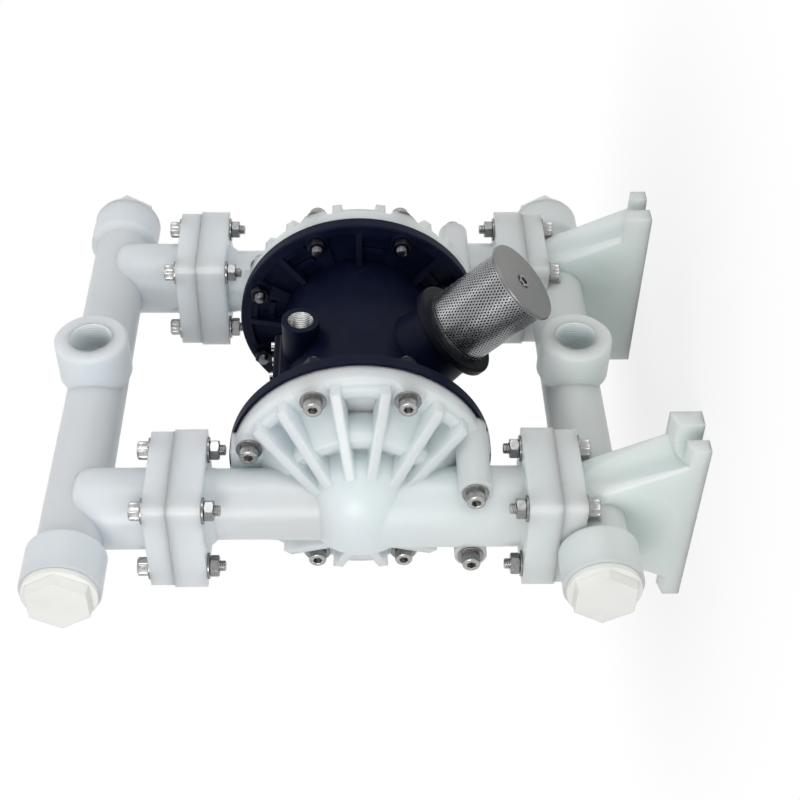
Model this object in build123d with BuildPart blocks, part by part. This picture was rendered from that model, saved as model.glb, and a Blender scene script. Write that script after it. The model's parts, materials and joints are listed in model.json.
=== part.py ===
"""Air operated diaphragm pump, 1 inch, in plastic, with its four square flange joints and a muffler.

The pump stands on its feet. Z is up, the diaphragm shaft lies along X, and the ports face -Y.
The origin is the middle of the foot slots, on the floor. All dimensions are in millimetres.
"""

import os
from math import cos, radians, sin, sqrt

from build123d import *

os.makedirs("parts", exist_ok=True)

# ---------------------------------------------------------------- driving dimensions

SHAFT_Z = 232.0  # height of the diaphragm shaft
RISER_X = 128.0  # distance of the fluid pipes, flanges and feet from the middle plane
CLAMP_X = 82.4  # faces of the centre body, where the diaphragms are clamped

# heights of the joints and manifolds, measured from the shaft
OUTLET_FACE, OUTLET_SEAM = 106.6, 129.1  # inner face and seam of the upper flange joints
INLET_FACE, INLET_SEAM = -112.6, -135.1  # inner face and seam of the lower flange joints
OUTLET_PIPE, INLET_PIPE = 198.5, -161.5  # axes of the two manifold pipes

# flange joints: four M8 screws on a 57 mm square
CHAMBER_FLANGE, MANIFOLD_FLANGE = 80.0, 78.0  # sides of the square flanges
FLANGE_BOLTS = 57.0
MANIFOLD_FLANGE_THICK = 16.6
CORNER_R = 4.0

# fluid pipes
PIPE_R, PIPE_BORE_R = 22.0, 15.0  # manifold pipes
STUB_R = 28.5  # branches and chamber risers, which hold the balls
COLLAR_R = 27.5  # threaded ends of the manifolds
COLLAR_START, COLLAR_END = 171.0, 202.0
COLLAR_STEP = 5.0
PORT_R, PORT_REACH = 27.0, 47.0  # threaded port in the middle, facing -Y
THREAD_1_R, THREAD_1_LENGTH = 15.15, 24.0  # 1 inch pipe thread, at its minor radius
PORT_DEPTH = 33.0  # straight part of the port collar
BRANCH_ROUND = 14.0
PLUG_DEPTH, PLUG_RIM_R, PLUG_RIM_THICK = 18.0, 25.5, 3.5
PLUG_HEX_R, PLUG_HEX_THICK = 23.7, 8.0

# ball valves
BALL_R = 16.0
CAGE_R, CAGE_LENGTH = 21.0, 38.0
SEAT_R, SEAT_BORE_R, SEAT_THICK, SEAT_RING = 23.0, 12.5, 6.0, 2.0
BALL_LIFT = 9.0
SEAT_CHAMFER, BALL_GAP = 2.5, 0.3
FIN_R, STOP_FIN_THICK = 13.0, 4.0

# chambers
CHAMBER_R = 92.5
CHAMBER_RIM_X, RIM_ROUND = 98.0, 5.0  # outer face of the clamping rim, and its rounded edge
SCREW_CIRCLE_R, SCREW_COUNT = 84.0, 8
PAD_X, PAD_R, PAD_SKIRT_R, PAD_INSET = 102.0, 10.3, 15.0, 0.4  # screw pads, which flare into the rim
COLUMN_X, COLUMN_R = 145.5, 11.5  # tall pads, beside the inlet riser
HUB_START, HUB_MIDDLE, HUB_TOP = (132.0, 40.0), (148.0, 28.5), (158.0, 6.0)  # (x, radius) of the hub's dome
RIB_ANGLES = (11.0, 37.0, 53.0)  # from the Y axis, on each side of it
RIB_THICK = 7.0
RIB_END, RIB_HUB = (108.0, 90.0), (137.5, 37.5)  # (x, radius) of the ends of a rib's edge
WEB_R, WEB_TOP_X, WEB_THICK = 88.5, 102.5, 8.0
DOME_R, DOME_X, POCKET_X = 58.0, 120.0, 114.0
DOME_EDGE = 8.0  # width of the dome's flat ring
RAMP_R = 75.0  # where the ramp from the rim to the dome starts
POCKET_FLOOR_X, POCKET_R = 95.0, 61.0  # pockets between the paired ribs
RISER_OUT_R, RISER_OUT_X = 25.0, 124.3  # slimmer riser on the outlet side
RISER_STEP, NECK_LENGTH = 4.0, 7.0
DISH_R, DISH_X, DISH_PORT, BORE_END = 50.0, 109.5, 34.0, 20.0
NECK = 2.4
EAR_HALF, EAR_REACH = 29.0, 91.0

# centre body
BODY_R = 94.5
LIP_X, LIP_R = 73.0, 86.0  # inner face and inner radius of each disc's lip
WEB_X = 78.0
DRUM_R, DRUM_GAP = 59.0, 0.5  # the drum, and the gap to the ribs and bosses of the discs
AIR_R, AIR_FLOOR_X = 48.0, 66.0  # air chamber behind each inner plate
AIR_CONE_R, AIR_CONE_X = 66.0, 76.0
BOSS_X, BOSS_R = 71.0, 8.5
BODY_RIB = 4.5
BODY_ARCS, BODY_ARC_X, BODY_ARC_ANGLE = (70.0, 83.5), 74.5, 15.0  # short concentric ribs

# diaphragms and plates
BEAD_R, BEAD_INNER_R, BEAD_THICK = 78.0, 66.0, 4.0
SHEET_THICK = 3.5
SHEET_GAP = 0.2
PLATE_R, OUTER_PLATE_R = 42.0, 40.0
PLATE_THICK = 6.0
SHAFT_R, STUD_R = 9.0, 6.0
RUNNING_GAP = 0.05
SHAFT_BUSH_X = 46.0

# air valve, in the centre body above the shaft
VALVE_OFFSET = 31.0
SLEEVE_R, SPOOL_R, SLEEVE_HALF = 11.0, 7.5, 50.0
SPOOL_HALF = 42.0
END_CAP_R, END_CAP_THICK = 13.0, 10.0
PILOT_Y, PILOT_OFFSET = 24.0, -18.0
PILOT_R, PILOT_HALF = 4.0, 64.5
PILOT_BUSH_X, PILOT_BUSH_R = 54.0, 7.0

# air inlet, 1/2 inch pipe thread in a metal bush
INLET_OFFSET, INLET_FACE_Y = 43.5, -63.0
INLET_BOSS_R, INLET_BUSH_R, INLET_THREAD_R, INLET_BUSH_LENGTH = 14.0, 11.0, 9.3, 22.0

# valve cover on top of the centre body
COVER_TOP, COVER_THICK, GASKET_THICK = 64.5, 4.0, 1.2
COVER_X, COVER_Y = 46.0, 57.0
COVER_SCREW_X, COVER_SCREW_STEP = 34.0, 15.0

M4_R, M4_HEAD_R, M4_HEAD_H = 2.0, 3.6, 2.6

# exhaust: its axis leans down and forward, and passes a little behind the shaft
EXHAUST_ANGLE = 44.0  # from straight down
EXHAUST_Y, EXHAUST_OFFSET = 7.8, -7.5
EXHAUST_FACE, EXHAUST_FLANGE_R, EXHAUST_FLANGE_THICK = 82.4, 37.5, 7.5
EXHAUST_NECK_R = 34.0  # neck where it leaves the drum
EXHAUST_BORE_R, EXHAUST_BORE_DEPTH = 17.0, 42.0
CAN_R, CAN_WALL, CAN_TOP = 28.6, 1.0, 151.0
CAP_R, CAP_TOP, CAP_SKIRT = 32.1, 154.0, 6.0
CORE_BORE_R, TIE_R, TIE_HEAD_H = 12.0, 3.0, 2.5

# feet, part of the inlet manifold
FOOT_INNER, FOOT_OUTER = 109.0, 147.5
FOOT_FRONT, FOOT_BACK = -73.0, 75.0
FOOT_THICK, FOOT_THIN = 22.0, 12.0  # pad on the inner and on the outer side
FOOT_MIDDLE = (FOOT_INNER + FOOT_OUTER) / 2
LEG_NECK, LEG_TOP, LEG_FOOT, LEG_FOOT_Z = 25.0, 31.0, 60.0, 10.0
LEG_EDGE, FOOT_EDGE = 4.0, 2.5  # rounded edges
SCOOP_R, SCOOP_DEPTH, SCOOP_Z = 110.0, 5.0, 44.0  # dished outer face of a leg
CHANNEL_R, CHANNEL_TOP, CHANNEL_FOOT = 22.0, 2.0, 8.0  # channel down a leg's slopes, and its depths
FOOT_SLOT_X, FOOT_SLOT_R, FOOT_SLOT_DEPTH = 129.5, 7.0, 20.0

# M8 fasteners
M8_R, M8_CLEAR_R = 4.0, 4.25
HEAD_R, HEAD_H, SOCKET_R, SOCKET_DEPTH = 6.5, 8.0, 3.4, 4.0
NUT_R, NUT_H = 7.5, 6.5
WASHER_R, WASHER_H = 9.2, 1.6
THREAD_SHOWN = 4.5  # screw end beyond its nut

SIDES = {"left": -1, "right": 1}
UPWARDS = (Align.CENTER, Align.CENTER, Align.MIN)
DOWNWARDS = (Align.CENTER, Align.CENTER, Align.MAX)
SCREW_ANGLES = [22.5 + 360 / SCREW_COUNT * k for k in range(SCREW_COUNT)]

# ---------------------------------------------------------------- planes and small helpers

ACROSS = Plane(origin=(0, 0, SHAFT_Z), x_dir=(0, 1, 0), z_dir=(1, 0, 0))  # seen along the shaft
ALONG = Plane(origin=(0, 0, SHAFT_Z), x_dir=(1, 0, 0), z_dir=(0, -1, 0))  # shaft axis and height
SHAFT_AXIS = Axis((0, 0, SHAFT_Z), (1, 0, 0))
INLET_FACE_PLANE = Plane(
    origin=(0, INLET_FACE_Y, SHAFT_Z + INLET_OFFSET), x_dir=(1, 0, 0), z_dir=(0, -1, 0)
)
EXHAUST_DIR = (0, -sin(radians(EXHAUST_ANGLE)), -cos(radians(EXHAUST_ANGLE)))
EXHAUST = Plane(
    origin=(0, EXHAUST_Y, SHAFT_Z + EXHAUST_OFFSET), x_dir=(1, 0, 0), z_dir=EXHAUST_DIR
)
EXHAUST_AXIS = Axis(EXHAUST.origin, EXHAUST_DIR)


def riser(height, up=1):
    """Plane across the right-hand fluid pipe at a height from the shaft."""
    return Plane(origin=(RISER_X, 0, SHAFT_Z + height), x_dir=(1, 0, 0), z_dir=(0, 0, up))


def polar(radius, angle):
    """Point at an angle from the Y axis in the plane across the shaft."""
    return radius * cos(radians(angle)), radius * sin(radians(angle))


def screw_places(x):
    """The eight places of a chamber's screws, facing +X at distance x."""
    return [
        Location(Plane(origin=(x, y, SHAFT_Z + z), z_dir=(1, 0, 0)))
        for y, z in (polar(SCREW_CIRCLE_R, a) for a in SCREW_ANGLES)
    ]


def is_column(place):
    """True for the two screws beside the inlet riser, which sit on tall pads."""
    return place.position.Z < SHAFT_Z - 70


def radial(angle):
    """Plane through the shaft axis: local x along the shaft, local y outwards at the angle from Y."""
    normal = (0, -sin(radians(angle)), cos(radians(angle)))
    return Plane(origin=(0, 0, SHAFT_Z), x_dir=(1, 0, 0), z_dir=normal)


def half_turn(part, label):
    """The same piece on the other side of the pump: turned half round the Z axis."""
    turned = part.rotate(Axis.Z, 180)
    turned.label = label
    return turned


def ring(plane, outer, inner, height):
    """A plain ring standing on a plane."""
    with BuildPart() as made:
        with BuildSketch(plane):
            Circle(outer)
            Circle(inner, mode=Mode.SUBTRACT)
        extrude(amount=height)
    return made.part


def turned(points, axis=SHAFT_AXIS, plane=ALONG):
    """A solid of revolution of a closed outline, given as (along, outwards) points."""
    with BuildPart() as made:
        with BuildSketch(plane):
            with BuildLine():
                Polyline(*points, close=True)
            make_face()
        revolve(axis=axis)
    return made.part


def save(part, name):
    """Labels a piece and writes its STEP file."""
    part.label = name
    export_step(part, f"parts/{name}.step")


# ---------------------------------------------------------------- air chambers and centre body

CONE_R = AIR_R + (AIR_CONE_R - AIR_R) * (WEB_X - AIR_CONE_X) / (CLAMP_X - AIR_CONE_X)
with BuildPart() as air_chamber:
    # disc with its lip, open in a cone towards the diaphragm
    add(
        turned(
            [
                (WEB_X, CONE_R), (WEB_X, LIP_R), (LIP_X, LIP_R), (LIP_X, BODY_R - 1),
                (LIP_X + 1, BODY_R), (CLAMP_X, BODY_R), (CLAMP_X, AIR_CONE_R),
            ]
        )
    )
    # radial ribs and bolt bosses between the drum and the lip
    for k in range(8):
        with BuildSketch(radial(45 * k)):
            with BuildLine():
                Polyline(
                    (WEB_X + 1, DRUM_R + DRUM_GAP),
                    (WEB_X + 1, LIP_R + 1),
                    (LIP_X, LIP_R + 1),
                    (LIP_X - 6, DRUM_R + DRUM_GAP),
                    close=True,
                )
            make_face()
        extrude(amount=BODY_RIB / 2, both=True)
    for k in range(8):
        low, high = 45 * k + 22.5 - 4.5, 45 * k + 22.5 + 4.5
        with BuildSketch(ACROSS.offset(LIP_X + 0.5)):
            with BuildLine():
                Polyline(
                    polar(DRUM_R + DRUM_GAP, low),
                    polar(SCREW_CIRCLE_R, low - 0.5),
                    polar(SCREW_CIRCLE_R, high + 0.5),
                    polar(DRUM_R + DRUM_GAP, high),
                    close=True,
                )
            make_face()
        extrude(amount=WEB_X + 1 - LIP_X)
    # short concentric ribs from each radial rib towards the bosses
    for k in range(8):
        for radius in BODY_ARCS:
            with BuildSketch(ACROSS.offset(BODY_ARC_X)):
                Circle(radius + BODY_RIB / 2)
                Circle(radius - BODY_RIB / 2, mode=Mode.SUBTRACT)
                with BuildLine():
                    Polyline(
                        (0, 0), polar(2 * BODY_R, 45 * k), polar(2 * BODY_R, 45 * k + BODY_ARC_ANGLE),
                        close=True,
                    )
                make_face(mode=Mode.INTERSECT)
            extrude(amount=WEB_X + 1 - BODY_ARC_X)
    with Locations(*screw_places(BOSS_X)):
        Cylinder(BOSS_R, CLAMP_X - BOSS_X, align=UPWARDS)
        Cylinder(M8_CLEAR_R, CLAMP_X - BOSS_X, align=UPWARDS, mode=Mode.SUBTRACT)
save(air_chamber.part, "air_chamber_right")
save(half_turn(air_chamber.part, ""), "air_chamber_left")

with BuildPart() as centre_body:
    add(
        turned(
            [
                (0, 0), (0, DRUM_R), (WEB_X, DRUM_R), (WEB_X, CONE_R), (AIR_CONE_X, AIR_R),
                (AIR_FLOOR_X, AIR_R), (AIR_FLOOR_X, 0),
            ]
        )
    )
    mirror(about=Plane.YZ)

    # air inlet boss, valve block and exhaust neck
    with BuildSketch(Plane.XZ.shift_origin((0, 0, SHAFT_Z + INLET_OFFSET))):
        Circle(INLET_BOSS_R)
    extrude(amount=-INLET_FACE_Y)
    with Locations((0, 0, SHAFT_Z + COVER_TOP - COVER_THICK - GASKET_THICK)):
        Box(COVER_X, COVER_Y, COVER_TOP / 2, align=DOWNWARDS)
    with BuildSketch(EXHAUST.offset(DRUM_R / 2)):
        Circle(EXHAUST_NECK_R)
    with BuildSketch(EXHAUST.offset(EXHAUST_FACE)):
        Circle(CAN_R)
    loft()

    # bores: shaft, bushes, valve, pilot rod, air inlet and exhaust
    with BuildSketch(ACROSS.offset(-AIR_FLOOR_X)):
        Circle(SHAFT_R + 3)
        with Locations((0, VALVE_OFFSET)):
            Circle(SLEEVE_R)
        with Locations((PILOT_Y, PILOT_OFFSET)):
            Circle(PILOT_R + 0.6)
    extrude(amount=2 * AIR_FLOOR_X, mode=Mode.SUBTRACT)
    for x in (SLEEVE_HALF, -AIR_FLOOR_X):
        with BuildSketch(ACROSS.offset(x)):
            with Locations((0, VALVE_OFFSET)):
                Circle(END_CAP_R)
        extrude(amount=AIR_FLOOR_X - SLEEVE_HALF, mode=Mode.SUBTRACT)
    for x in (PILOT_BUSH_X, -AIR_FLOOR_X):
        with BuildSketch(ACROSS.offset(x)):
            with Locations((PILOT_Y, PILOT_OFFSET)):
                Circle(PILOT_BUSH_R)
        extrude(amount=AIR_FLOOR_X - PILOT_BUSH_X, mode=Mode.SUBTRACT)
    for depth, radius in ((-INLET_FACE_Y, 4.0), (INLET_BUSH_LENGTH, INLET_BUSH_R)):
        with BuildSketch(INLET_FACE_PLANE):
            Circle(radius)
        extrude(amount=-depth, mode=Mode.SUBTRACT)
    with BuildSketch(EXHAUST.offset(EXHAUST_FACE)):
        Circle(EXHAUST_BORE_R)
    extrude(amount=-EXHAUST_BORE_DEPTH, mode=Mode.SUBTRACT)

save(centre_body.part, "centre_body")

# ---------------------------------------------------------------- air inlet, valve cover, air valve

air_inlet_bush = ring(INLET_FACE_PLANE, INLET_BUSH_R, INLET_THREAD_R, -INLET_BUSH_LENGTH)
save(air_inlet_bush, "air_inlet_bush")

COVER_SCREWS = [
    (x, COVER_SCREW_STEP * (k - 1.5)) for x in (-COVER_SCREW_X / 2, COVER_SCREW_X / 2) for k in range(4)
]
gasket_plane = Plane.XY.offset(SHAFT_Z + COVER_TOP - COVER_THICK - GASKET_THICK)
with BuildPart() as valve_cover_gasket:
    with BuildSketch(gasket_plane):
        Rectangle(COVER_X, COVER_Y)
        with Locations(*COVER_SCREWS):
            Circle(M4_R, mode=Mode.SUBTRACT)
    extrude(amount=GASKET_THICK)
save(valve_cover_gasket.part, "valve_cover_gasket")

with BuildPart() as valve_cover:
    with BuildSketch(gasket_plane.offset(GASKET_THICK)):
        Rectangle(COVER_X, COVER_Y)
        with Locations(*COVER_SCREWS):
            Circle(M4_R, mode=Mode.SUBTRACT)
    extrude(amount=COVER_THICK)
    chamfer(valve_cover.faces().sort_by(Axis.Z)[-1].outer_wire().edges(), 1.0)
save(valve_cover.part, "valve_cover")

with BuildPart() as valve_cover_screws:
    with BuildSketch(Plane.XY.offset(SHAFT_Z + COVER_TOP)):
        with Locations(*COVER_SCREWS):
            Circle(M4_HEAD_R)
    extrude(amount=M4_HEAD_H)
    with BuildSketch(Plane.XY.offset(SHAFT_Z + COVER_TOP)):
        with Locations(*COVER_SCREWS):
            Circle(M4_R)
    extrude(amount=-COVER_THICK - GASKET_THICK)
save(valve_cover_screws.part, "valve_cover_screws")

VALVE_PLANE = Plane(origin=(0, 0, SHAFT_Z + VALVE_OFFSET), x_dir=(1, 0, 0), z_dir=(0, -1, 0))
VALVE_AXIS = Axis((0, 0, SHAFT_Z + VALVE_OFFSET), (1, 0, 0))
with BuildPart() as valve_sleeve:
    add(
        ring(
            Plane(origin=(-SLEEVE_HALF, 0, SHAFT_Z + VALVE_OFFSET), z_dir=(1, 0, 0)),
            SLEEVE_R, SPOOL_R + RUNNING_GAP, 2 * SLEEVE_HALF,
        )
    )
    for x in (-24.0, 0.0, 24.0):
        with Locations((x, 0, SHAFT_Z + VALVE_OFFSET)):
            Cylinder(2.5, 3 * SLEEVE_R, mode=Mode.SUBTRACT)
save(valve_sleeve.part, "valve_sleeve")

spool_end = [(SPOOL_HALF, 0), (SPOOL_HALF, SPOOL_R), (28, SPOOL_R), (28, 5), (8, 5), (8, SPOOL_R)]
valve_spool = turned(spool_end + [(-x, r) for x, r in reversed(spool_end)], VALVE_AXIS, VALVE_PLANE)
save(valve_spool, "valve_spool")

for side, sign in SIDES.items():
    cap_plane = Plane(
        origin=(sign * SLEEVE_HALF, 0, SHAFT_Z + VALVE_OFFSET), z_dir=(sign, 0, 0)
    )
    with BuildPart() as valve_end_cap:
        with BuildSketch(cap_plane):
            Circle(END_CAP_R)
        extrude(amount=END_CAP_THICK)
        with BuildSketch(cap_plane.offset(END_CAP_THICK)):
            RegularPolygon(SOCKET_R + 1, 6)
        extrude(amount=-SOCKET_DEPTH, mode=Mode.SUBTRACT)
    save(valve_end_cap.part, f"valve_end_cap_{side}")

# ---------------------------------------------------------------- pilot rod

PILOT_CENTRE = (PILOT_Y, SHAFT_Z + PILOT_OFFSET)
with BuildPart() as pilot_rod:
    with BuildSketch(Plane(origin=(-PILOT_HALF, *PILOT_CENTRE), z_dir=(1, 0, 0))):
        Circle(PILOT_R)
    extrude(amount=2 * PILOT_HALF)
    chamfer(pilot_rod.edges().filter_by(GeomType.CIRCLE), 0.8)
save(pilot_rod.part, "pilot_rod")

for side, sign in SIDES.items():
    bush_plane = Plane(origin=(sign * PILOT_BUSH_X, *PILOT_CENTRE), z_dir=(sign, 0, 0))
    pilot_bush = ring(bush_plane, PILOT_BUSH_R, PILOT_R + RUNNING_GAP, AIR_FLOOR_X - PILOT_BUSH_X)
    save(pilot_bush, f"pilot_bush_{side}")

# ---------------------------------------------------------------- exhaust flange and muffler

with BuildPart() as exhaust_flange:
    with BuildSketch(EXHAUST.offset(EXHAUST_FACE)):
        Circle(EXHAUST_FLANGE_R)
        Circle(EXHAUST_BORE_R, mode=Mode.SUBTRACT)
    extrude(amount=EXHAUST_FLANGE_THICK)
    fillet(exhaust_flange.edges().filter_by(GeomType.CIRCLE).sort_by(SortBy.RADIUS)[-2:], 2.0)
    with BuildSketch(EXHAUST.offset(EXHAUST_FACE)):
        Rectangle(2 * EXHAUST_BORE_R + 1, 10)
    extrude(amount=EXHAUST_FLANGE_THICK - 2)
    with BuildSketch(EXHAUST.offset(EXHAUST_FACE)):
        Circle(TIE_R)
    extrude(amount=EXHAUST_FLANGE_THICK, mode=Mode.SUBTRACT)
save(exhaust_flange.part, "exhaust_flange")

can_base = EXHAUST.offset(EXHAUST_FACE + EXHAUST_FLANGE_THICK)
can_length = CAN_TOP - EXHAUST_FACE - EXHAUST_FLANGE_THICK
save(ring(can_base, CAN_R - CAN_WALL - 0.5, CORE_BORE_R, can_length), "muffler_core")
save(ring(can_base, CAN_R, CAN_R - CAN_WALL, can_length), "muffler_can")

with BuildPart() as muffler_cap:
    with BuildSketch(EXHAUST.offset(CAN_TOP)):
        Circle(CAP_R)
    extrude(amount=CAP_TOP - CAN_TOP)
    with BuildSketch(EXHAUST.offset(CAN_TOP)):
        Circle(CAP_R)
        Circle(CAN_R, mode=Mode.SUBTRACT)
    extrude(amount=-CAP_SKIRT / 2)
    fillet(muffler_cap.edges().sort_by(EXHAUST_AXIS)[-1], 1.6)
    with BuildSketch(EXHAUST.offset(CAN_TOP)):
        Circle(TIE_R)
    extrude(amount=CAP_TOP - CAN_TOP, mode=Mode.SUBTRACT)
save(muffler_cap.part, "muffler_cap")

with BuildPart() as muffler_tie_bolt:
    with BuildSketch(EXHAUST.offset(EXHAUST_FACE)):
        Circle(TIE_R)
    extrude(amount=CAP_TOP - EXHAUST_FACE)
    with BuildSketch(EXHAUST.offset(CAP_TOP)):
        RegularPolygon(NUT_R, 6)
    extrude(amount=TIE_HEAD_H)
    with BuildSketch(EXHAUST.offset(CAP_TOP + TIE_HEAD_H)):
        RegularPolygon(SOCKET_R, 6)
    extrude(amount=-TIE_HEAD_H + 0.5, mode=Mode.SUBTRACT)
save(muffler_tie_bolt.part, "muffler_tie_bolt")

# ---------------------------------------------------------------- shaft, bushes, plates, diaphragms

SHEET_MID = CLAMP_X + BEAD_THICK / 2
SHEET_IN, SHEET_OUT = SHEET_MID - SHEET_THICK / 2, SHEET_MID + SHEET_THICK / 2
INNER_FACE, OUTER_FACE = SHEET_IN - SHEET_GAP, SHEET_OUT + SHEET_GAP  # faces of the plates
STUD_END = OUTER_FACE + 10

half_shaft = [
    (0, 0), (0, SHAFT_R), (INNER_FACE - PLATE_THICK, SHAFT_R),
    (INNER_FACE - PLATE_THICK, STUD_R), (STUD_END, STUD_R), (STUD_END, 0),
]
with BuildPart() as diaphragm_shaft:
    add(turned(half_shaft))
    mirror(about=Plane.YZ)
save(diaphragm_shaft.part, "diaphragm_shaft")

inner_plate = turned(
    [
        (INNER_FACE, STUD_R), (INNER_FACE, PLATE_R - 1), (INNER_FACE - 1, PLATE_R),
        (INNER_FACE - 3, PLATE_R), (INNER_FACE - PLATE_THICK, PLATE_R - 6),
        (INNER_FACE - PLATE_THICK, STUD_R),
    ]
)
outer_plate = turned(
    [
        (OUTER_FACE, STUD_R), (OUTER_FACE, OUTER_PLATE_R - 1), (OUTER_FACE + 2, OUTER_PLATE_R),
        (OUTER_FACE + 5, OUTER_PLATE_R - 4), (OUTER_FACE + 9, 14), (OUTER_FACE + 13, 12),
        (OUTER_FACE + 13, 0), (STUD_END, 0), (STUD_END, STUD_R),
    ]
)
save(inner_plate, "inner_plate_right")
save(outer_plate, "outer_plate_right")
save(half_turn(inner_plate, ""), "inner_plate_left")
save(half_turn(outer_plate, ""), "outer_plate_left")

# a flat sheet with one rounded fold between the plates and the clamped bead
FOLD_IN_R, FOLD_RISE = 46.0, 6.0
fold_mid = (FOLD_IN_R + BEAD_INNER_R) / 2
with BuildPart() as diaphragm:
    with BuildSketch(ALONG):
        with BuildLine():
            Polyline(
                (SHEET_IN, FOLD_IN_R), (SHEET_IN, STUD_R + SHEET_GAP),
                (SHEET_OUT, STUD_R + SHEET_GAP), (SHEET_OUT, FOLD_IN_R),
            )
            ThreePointArc(
                (SHEET_OUT, FOLD_IN_R), (SHEET_OUT + FOLD_RISE, fold_mid), (SHEET_OUT, BEAD_INNER_R)
            )
            Polyline(
                (SHEET_OUT, BEAD_INNER_R), (CLAMP_X + BEAD_THICK, BEAD_INNER_R),
                (CLAMP_X + BEAD_THICK, BEAD_R), (CLAMP_X, BEAD_R), (CLAMP_X, BEAD_INNER_R),
                (SHEET_IN, BEAD_INNER_R),
            )
            ThreePointArc(
                (SHEET_IN, BEAD_INNER_R), (SHEET_IN + FOLD_RISE, fold_mid), (SHEET_IN, FOLD_IN_R)
            )
        make_face()
    revolve(axis=SHAFT_AXIS)
save(diaphragm.part, "diaphragm_right")
save(half_turn(diaphragm.part, ""), "diaphragm_left")

SEAL_X = 60.0
for side, sign in SIDES.items():
    bush_plane = Plane(origin=(sign * SHAFT_BUSH_X, 0, SHAFT_Z), z_dir=(sign, 0, 0))
    bush_length = SEAL_X - SHAFT_BUSH_X
    save(ring(bush_plane, SHAFT_R + 3, SHAFT_R + RUNNING_GAP, bush_length), f"shaft_bush_{side}")
    seal = ring(
        bush_plane.offset(bush_length), SHAFT_R + 3, SHAFT_R + RUNNING_GAP, AIR_FLOOR_X - SEAL_X
    )
    save(seal, f"shaft_seal_{side}")

# ---------------------------------------------------------------- fluid chambers

BALL_HEIGHT = sqrt((BALL_R + BALL_GAP) ** 2 - SEAT_BORE_R**2) - SEAT_CHAMFER  # above the seat
FIN_START = BALL_HEIGHT + BALL_LIFT + sqrt(BALL_R**2 - FIN_R**2) + BALL_GAP


def flange_joint(height, thick, side):
    """One square flange with its four screw holes, from a height upwards."""
    with BuildPart() as made:
        with BuildSketch(riser(height)):
            RectangleRounded(side, side, CORNER_R)
            with GridLocations(FLANGE_BOLTS, FLANGE_BOLTS, 2, 2):
                Circle(M8_CLEAR_R, mode=Mode.SUBTRACT)
        extrude(amount=thick)
    return made.part


def ball_cage(seam):
    """The space round a ball: a wide bore above a seam, less four fins that stop the ball."""
    with BuildPart() as made:
        with BuildSketch(riser(seam)):
            Circle(CAGE_R)
        extrude(amount=CAGE_LENGTH)
        with BuildSketch(riser(seam - SEAT_RING + FIN_START)):
            with PolarLocations((CAGE_R + FIN_R) / 2, 4, start_angle=45):
                Rectangle(CAGE_R - FIN_R + 2, STOP_FIN_THICK)
        extrude(amount=CAGE_LENGTH, mode=Mode.SUBTRACT)
    return made.part


def seat_pocket(seam):
    """The space of a seat and its ring, just below a seam."""
    depth = SEAT_RING + SEAT_THICK
    with BuildPart() as made:
        with BuildSketch(riser(seam)):
            Circle(SEAT_R)
        extrude(amount=-depth)
    return made.part


RIB_NEAR, RIB_INNER, RIB_OUTER = RIB_ANGLES
RIB_PAIRS = [
    (middle + low, middle + high)
    for middle in (0, 180)
    for low, high in ((-RIB_NEAR, RIB_NEAR), (RIB_INNER, RIB_OUTER), (-RIB_OUTER, -RIB_INNER))
]

with BuildPart() as screw_pads:
    for place in screw_places(CHAMBER_RIM_X - RIM_ROUND):
        if abs(place.position.Z - SHAFT_Z) < BODY_R / 2:
            with Locations(place):
                Cone(PAD_SKIRT_R, PAD_R, PAD_X - CHAMBER_RIM_X + RIM_ROUND, align=UPWARDS)
        elif not is_column(place):
            with Locations(place):
                Cylinder(PAD_R, PAD_X - CHAMBER_RIM_X + RIM_ROUND, align=UPWARDS)
    with BuildSketch(ACROSS.offset(CLAMP_X)):
        Circle(CHAMBER_R - PAD_INSET)
    extrude(amount=PAD_X, mode=Mode.INTERSECT)

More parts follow.
